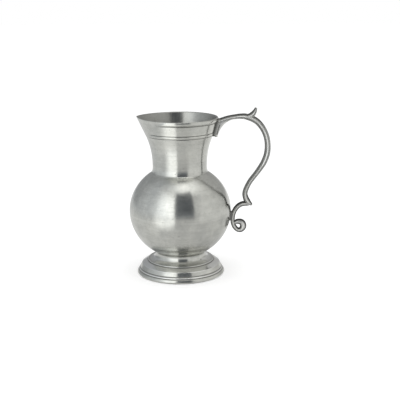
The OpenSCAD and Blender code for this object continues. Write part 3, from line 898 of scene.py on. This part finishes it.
def floor_surface(t):
    """White floor that is lit a little more where it is seen directly."""
    diffuse = t.nodes.new("ShaderNodeBsdfDiffuse")
    diffuse.inputs["Color"].default_value = (0.86, 0.86, 0.86, 1)
    glow = t.nodes.new("ShaderNodeEmission")
    t.links.new(math_node(t, "MULTIPLY", seen_directly(t), 0.36), glow.inputs["Strength"])
    both = t.nodes.new("ShaderNodeAddShader")
    t.links.new(diffuse.outputs[0], both.inputs[0])
    t.links.new(glow.outputs[0], both.inputs[1])
    return both.outputs[0]


def stage_piece(name, points, faces, material):
    """A mesh that belongs to the stage."""
    mesh = bpy.data.meshes.new(name)
    mesh.from_pydata(points, [], faces)
    mesh.materials.append(material)
    piece = link(name, mesh)
    piece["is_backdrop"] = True
    return piece


FLOOR_HALF = 6.0
floor_corners = [(x * FLOOR_HALF, y * FLOOR_HALF, 0)
                 for x, y in ((-1, -1), (1, -1), (1, 1), (-1, 1))]
stage_piece("floor", floor_corners, [(0, 1, 2, 3)], stage_material("floor", floor_surface))

middle = Vector((0, 0, bowl_z * MM))


def lit_grid(name, points, columns, closed, light, tint=(1, 1, 1)):
    """Rows of points that shine by their own light, shown only in reflections."""
    def build(t):
        node = t.nodes.new("ShaderNodeEmission")
        t.links.new(attribute(t, "light", "Color"), node.inputs["Color"])
        return node.outputs[0]

    faces = grid_faces(len(points) // columns, columns, close_columns=closed)
    faces = faces[:, [0, 3, 2, 1]].tolist()
    piece = stage_piece(name, points, faces, stage_material(name, build))
    # A little cooler on the left, towards the lip
    cool = 1 - smoothstep(np.array([point[0] for point in points]), -1.2, 0.2)
    colour = np.array(light)[:, None] * (1 + cool[:, None] * np.array([-0.035, 0, 0.05])) * tint
    layer = piece.data.attributes.new("light", "FLOAT_COLOR", "POINT")
    layer.data.foreach_set("color", np.column_stack([colour, np.ones(len(colour))]).ravel())
    piece.visible_camera = False
    piece.visible_diffuse = False
    piece.visible_shadow = False
    piece.visible_transmission = False


CARD_ROWS, CARD_COLUMNS = 25, 33


def card(name, azimuths, elevations, distance, light, tint=(1, 1, 1)):
    """A curved card between two azimuths and two elevations seen from the bowl.
    Azimuth is counted from the camera's side, towards the handle."""
    points, values = [], []
    for e in np.linspace(*elevations, CARD_ROWS):
        for a in np.linspace(*azimuths, CARD_COLUMNS):
            ea = math.radians(e)
            aa = math.atan(math.tan(math.radians(a)) / math.cos(ea * 0.8))
            away = Vector((math.cos(ea) * math.sin(aa), -math.cos(ea) * math.cos(aa),
                           math.sin(ea)))
            points.append(middle + away * distance)
            values.append(float(light(a, e)))
    lit_grid(name, points, CARD_COLUMNS, False, values, tint)


def light_round(azimuth):
    """Light of the room in each direction round the jug, in degrees from the camera's side."""
    at = [-180, -130, -100, -62, -40, 40, 60, 100, 130, 180]
    light = [0.32, 0.44, 0.66, 0.84, 0.92, 0.80, 0.93, 0.82, 0.6, 0.36]
    return np.interp(azimuth, at, light)


def dome_light(azimuth, elevation):
    """Darker high up, but not over the front, with a soft patch on the left and one behind."""
    high = float(smoothstep(elevation, 50, 64))
    front = math.exp(-(((azimuth - 30) / 80) ** 4))
    glow = (0.16 * peak(azimuth, -55, 22) * peak(elevation, -5, 28)
            + 0.5 * peak(azimuth, -165, 14) * peak(elevation, 57, 12))
    return float(light_round(azimuth)) * (1 - high) + high * (0.54 + 1.14 * front) + glow


def floor_light(azimuth, r):
    """Plain near the foot, with a bright and a dark patch farther out."""
    bright = (between(azimuth, -68, -34, -13, -8)
              * smoothstep(r, 0.13, 0.26) * (1 - 0.15 * smoothstep(r, 0.45, 0.7)))
    dark = between(azimuth, -10, -7, 30, 36) * smoothstep(r, 0.48, 0.75)
    near_left = (1 - smoothstep(azimuth, -20, 5)) * (1 - smoothstep(r, 0.2, 0.6))
    plain_light = (0.62 + 0.12 * smoothstep(r, 0.05, 0.1) + 0.1 * near_left
                   + 0.22 * smoothstep(r, 0.12, 0.5) * smoothstep(azimuth, 28, 45))
    return float(plain_light + 0.95 * bright - 0.42 * dark)


FLOOR_RINGS = (0.053, 0.06, 0.07, 0.08, 0.09, 0.1, 0.12, 0.14,
               0.16, 0.2, 0.25, 0.3, 0.34, 0.5, 1.0)
DOME_RINGS, DOME_COLUMNS = 45, 180


def room(name, radius, ground):
    """A dome of soft light and its floor, shown only in reflections."""
    azimuths = np.linspace(-180, 180, DOME_COLUMNS + 1)[:-1]
    rings = [(r, ground, None) for r in (*FLOOR_RINGS, radius)]
    for e in np.linspace(2, 90, DOME_RINGS):
        flat = radius * math.cos(math.radians(e))
        rings.append((flat, ground + radius * math.sin(math.radians(e)), e))
    points, light = [], []
    for r, z, e in rings:
        for a in azimuths:
            points.append((r * math.sin(math.radians(a)), -r * math.cos(math.radians(a)), z))
            light.append(floor_light(a, r) if e is None else dome_light(a, e))
    lit_grid(name, points, DOME_COLUMNS, True, light)


def bright_light(azimuth, elevation):
    """A window, dimmer towards its left edge and its top."""
    sides = smoothstep(azimuth, -68, -31) * 0.9 + 0.1
    return 0.76 + 1.1 * sides * (1 - smoothstep(elevation, 38, 64))


def dark_light(azimuth, elevation):
    """A dark opening, a little lighter along its lower edge."""
    return 0.14 + 0.25 * (1 - smoothstep(elevation, -1, 8))


room("room", radius=2.2, ground=0.0006)
card("card_dark", azimuths=(-10, 32), elevations=(-1, 59), distance=0.95,
     light=dark_light, tint=(0.95, 1.02, 1.13))
card("card_bright", azimuths=(-72, -12), elevations=(-4, 64), distance=0.97,
     light=bright_light)

key = bpy.data.lights.new("key", "AREA")
key.shape = "RECTANGLE"
key.size, key.size_y = 2.0, 2.0
key.energy = 5.0
key_object = link("key", key)
key_object.location = (0.08, -0.25, 1.5)
key_object.rotation_euler = (middle - key_object.location).to_track_quat("-Z", "Y").to_euler()
key_object.visible_glossy = False

world = bpy.data.worlds.new("studio")
bpy.context.scene.world = world
world.use_nodes = True
wt = world.node_tree
wt.nodes.clear()


def background(strength):
    node = wt.nodes.new("ShaderNodeBackground")
    node.inputs["Color"].default_value = (1, 1, 1, 1)
    node.inputs["Strength"].default_value = strength
    return node.outputs[0]


soft_light, white = background(0.78), background(1.0)
choose = wt.nodes.new("ShaderNodeMixShader")
wt.links.new(seen_directly(wt), choose.inputs[0])
wt.links.new(soft_light, choose.inputs[1])
wt.links.new(white, choose.inputs[2])
world_out = wt.nodes.new("ShaderNodeOutputWorld")
wt.links.new(choose.outputs[0], world_out.inputs[0])

camera_data = bpy.data.cameras.new("camera")
camera_data.sensor_width = 36
camera_data.lens = 81.15
camera_place, camera_tilt, camera_roll = (0.02322, -1.0274, 0.3382), 76.25, -0.31
camera = link("camera", camera_data)
camera.matrix_world = (
    Matrix.Translation(camera_place)
    @ Matrix.Rotation(math.radians(camera_tilt), 4, "X")
    @ Matrix.Rotation(math.radians(camera_roll), 4, "Z")
)
bpy.context.scene.camera = camera
bpy.context.scene.view_settings.view_transform = "Standard"

{"cad": plain(cad_bounds), "visual": plain(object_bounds())}
